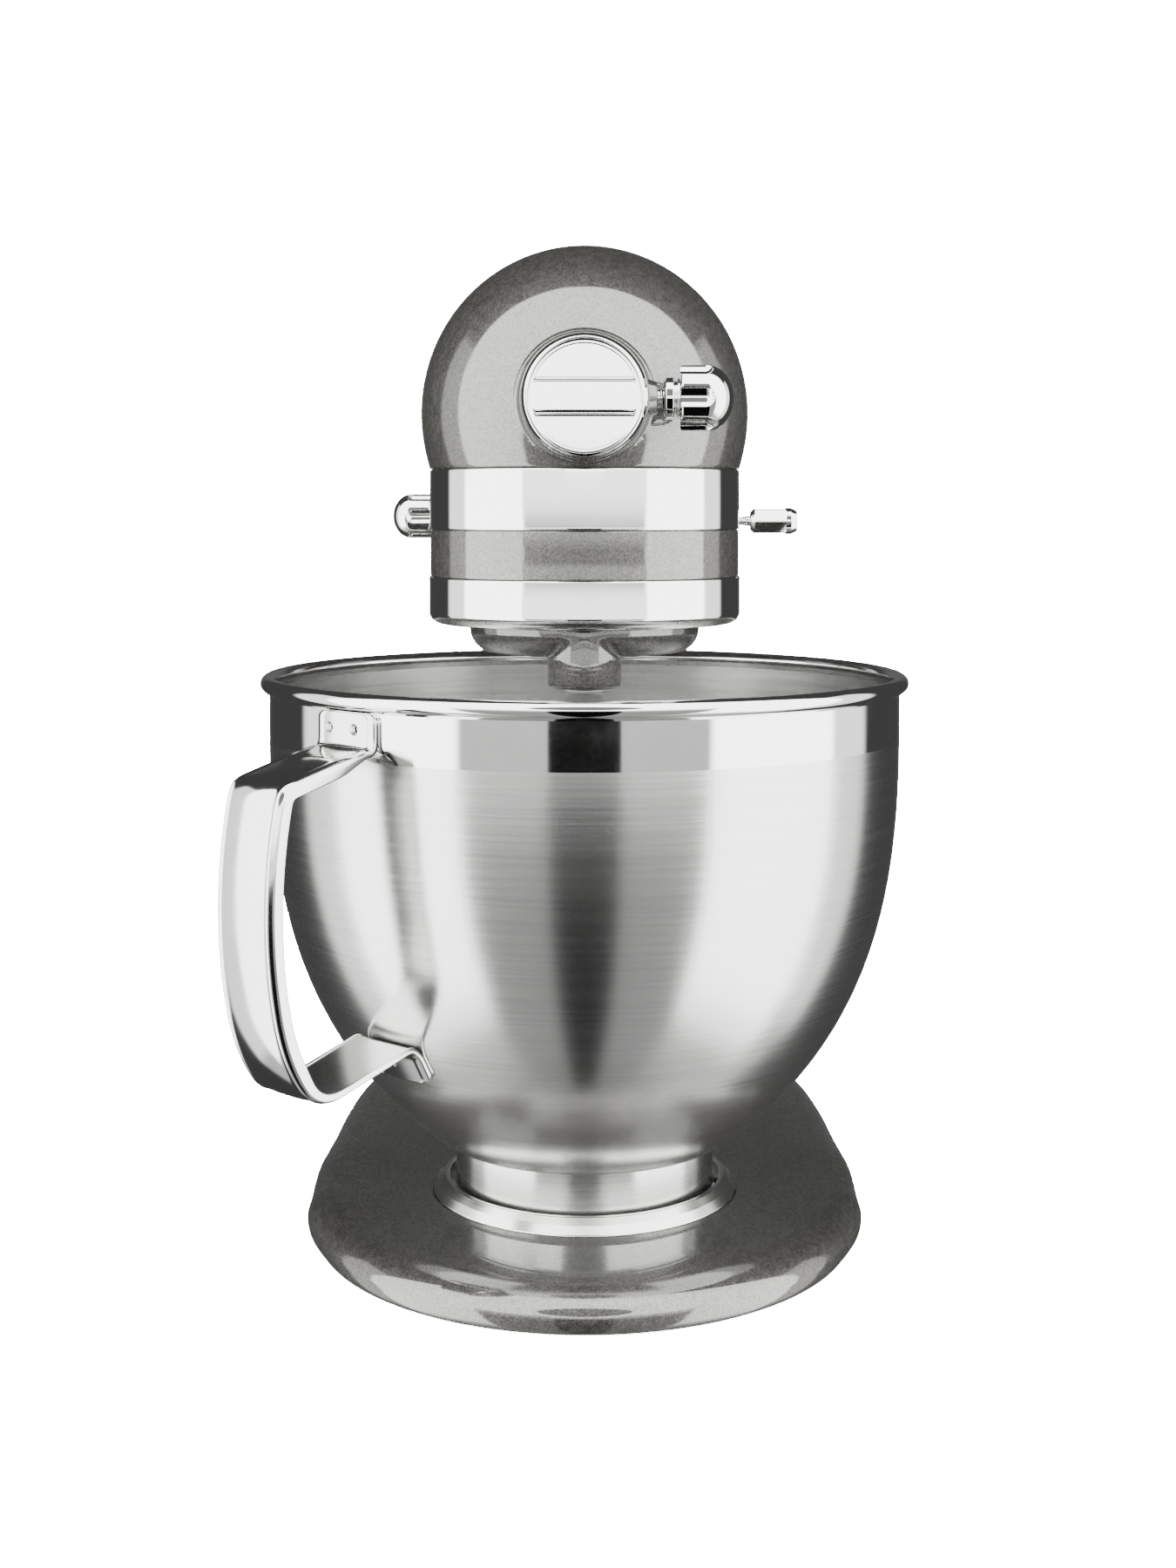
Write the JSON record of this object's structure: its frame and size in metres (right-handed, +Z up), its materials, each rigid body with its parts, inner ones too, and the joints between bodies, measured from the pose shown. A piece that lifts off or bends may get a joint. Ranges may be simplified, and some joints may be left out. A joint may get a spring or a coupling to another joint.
{
  "type": "stand mixer",
  "caption": "Tilt-head stand mixer with planetary drive, attachment hub, speed and lock levers, and a handled steel bowl on a bayonet plate.",
  "frame": {"origin": "the point of the table top below the bowl's and the planetary's common axis", "axes": "+Z up, -Y towards the front of the mixer (the attachment hub), +X to the right when looking at its front"},
  "size_m": [0.228, 0.3629, 0.3512],
  "materials": {
    "silver_paint": "glossy metallic",
    "chrome_plate": "polished",
    "steel": "machined",
    "bowl_steel": "brushed, with a polished band",
    "handle_steel": "polished",
    "clamp_steel": "satin",
    "rubber": "matt",
    "cast_aluminium": "as cast",
    "bronze": "machined",
    "copper": "satin",
    "laminated_steel": "stacked sheets",
    "black_plastic": "matt",
    "board_green": "matt"
  },
  "bodies": {
    "stand": {"base_casting": "silver_paint", "column_casting": "silver_paint", "rubber_feet": "rubber", "column_bolts": "steel", "bowl_clamp_plate": "clamp_steel", "clamp_plate_screws": "steel", "hinge_pin": "steel", "hinge_set_screw": "steel", "height_adjust_screw": "steel"},
    "bowl": {"bowl_shell": "bowl_steel", "bowl_foot": "bowl_steel", "bowl_handle": "handle_steel"},
    "head": {"upper_housing": "silver_paint", "gear_case": "silver_paint", "trim_band": "chrome_plate", "band_screws": "steel", "drip_ring": "chrome_plate", "rear_cover": "silver_paint", "rear_cover_screw": "steel", "brush_caps": "black_plastic", "brush_holders": "bronze", "carbon_brushes": "black_plastic", "field_core": "laminated_steel", "field_coils": "copper", "motor_bracket": "cast_aluminium", "rear_bracket": "cast_aluminium", "motor_bearings": "steel", "gear_bracket": "cast_aluminium", "internal_gear": "steel", "shaft_bushes": "bronze", "hub_sleeve": "cast_aluminium", "control_board": "board_green", "cord_gland": "rubber", "knob_collar": "chrome_plate"},
    "planetary": {"planet_carrier": "silver_paint", "vertical_shaft": "steel", "main_spur_gear": "steel", "centre_bevel_gear": "steel"},
    "agitator": {"agitator_shaft": "steel", "agitator_pinion": "steel", "agitator_washer": "steel", "beater_pin": "steel"},
    "idler": {"idler_shaft": "steel", "worm_wheel": "bronze", "idler_pinion": "steel"},
    "armature": {"armature_shaft": "steel", "armature_core": "laminated_steel", "commutator": "copper", "cooling_fan": "black_plastic"},
    "hub_drive": {"hub_drive_shaft": "steel", "hub_bevel_gear": "steel"},
    "cap": {"hub_cap": "chrome_plate"},
    "knob": {"attachment_knob": "chrome_plate"},
    "speed_control": {"speed_lever": "steel", "speed_knob": "chrome_plate"},
    "speed_rod": {"speed_link": "steel"},
    "lock": {"lock_bar": "steel", "lock_knob": "chrome_plate"}
  },
  "joints": [
    {"name": "head_tilt", "type": "hinge", "parent": "stand", "child": "head", "pos_m": [0, 0.16, 0.215], "axis": [-1, 0, 0], "range_deg": [0, 35]},
    {"name": "bowl_twist", "type": "hinge", "parent": "stand", "child": "bowl", "pos_m": [0, 0, 0], "axis": [0, 0, 1], "range_deg": [0, 25]},
    {"name": "planetary_orbit", "type": "hinge", "parent": "head", "child": "planetary", "pos_m": [0, 0, 0.215], "axis": [0, 0, 1], "continuous": true},
    {"name": "agitator_spin", "type": "hinge", "parent": "planetary", "child": "agitator", "pos_m": [0, -0.027, 0.2], "axis": [0, 0, 1], "continuous": true},
    {"name": "idler_spin", "type": "hinge", "parent": "head", "child": "idler", "pos_m": [0.025, 0.02795, 0.26], "axis": [0, 0, 1], "continuous": true},
    {"name": "armature_spin", "type": "hinge", "parent": "head", "child": "armature", "pos_m": [0, 0.1, 0.291], "axis": [0, 1, 0], "continuous": true},
    {"name": "hub_drive_spin", "type": "hinge", "parent": "head", "child": "hub_drive", "pos_m": [0, -0.04, 0.2904], "axis": [0, 1, 0], "continuous": true},
    {"name": "hub_cap_pull", "type": "slide", "parent": "head", "child": "cap", "axis": [0, -1, 0], "range_m": [0, 0.02]},
    {"name": "knob_turn", "type": "hinge", "parent": "head", "child": "knob", "pos_m": [0.03, -0.063, 0.2904], "axis": [1, 0, 0], "range_deg": [0, 720]},
    {"name": "speed_lever_swing", "type": "hinge", "parent": "head", "child": "speed_control", "pos_m": [0.026, 0.1, 0.249], "axis": [0, 0, 1], "range_deg": [0, 35]},
    {"name": "speed_link_slide", "type": "slide", "parent": "head", "child": "speed_rod", "axis": [0, -1, 0], "range_m": [0, 0.0088]},
    {"name": "lock_slide", "type": "slide", "parent": "head", "child": "lock", "axis": [0, 1, 0], "range_m": [0, 0.015]}
  ],
  "couplings": [
    {"joint": "agitator_spin", "follows": "planetary_orbit", "ratio": -3.8421},
    {"joint": "idler_spin", "follows": "planetary_orbit", "ratio": -4},
    {"joint": "armature_spin", "follows": "planetary_orbit", "ratio": 60},
    {"joint": "hub_drive_spin", "follows": "planetary_orbit", "ratio": -2},
    {"joint": "speed_link_slide", "follows": "speed_lever_swing", "m_per_rad": 0.014}
  ]
}
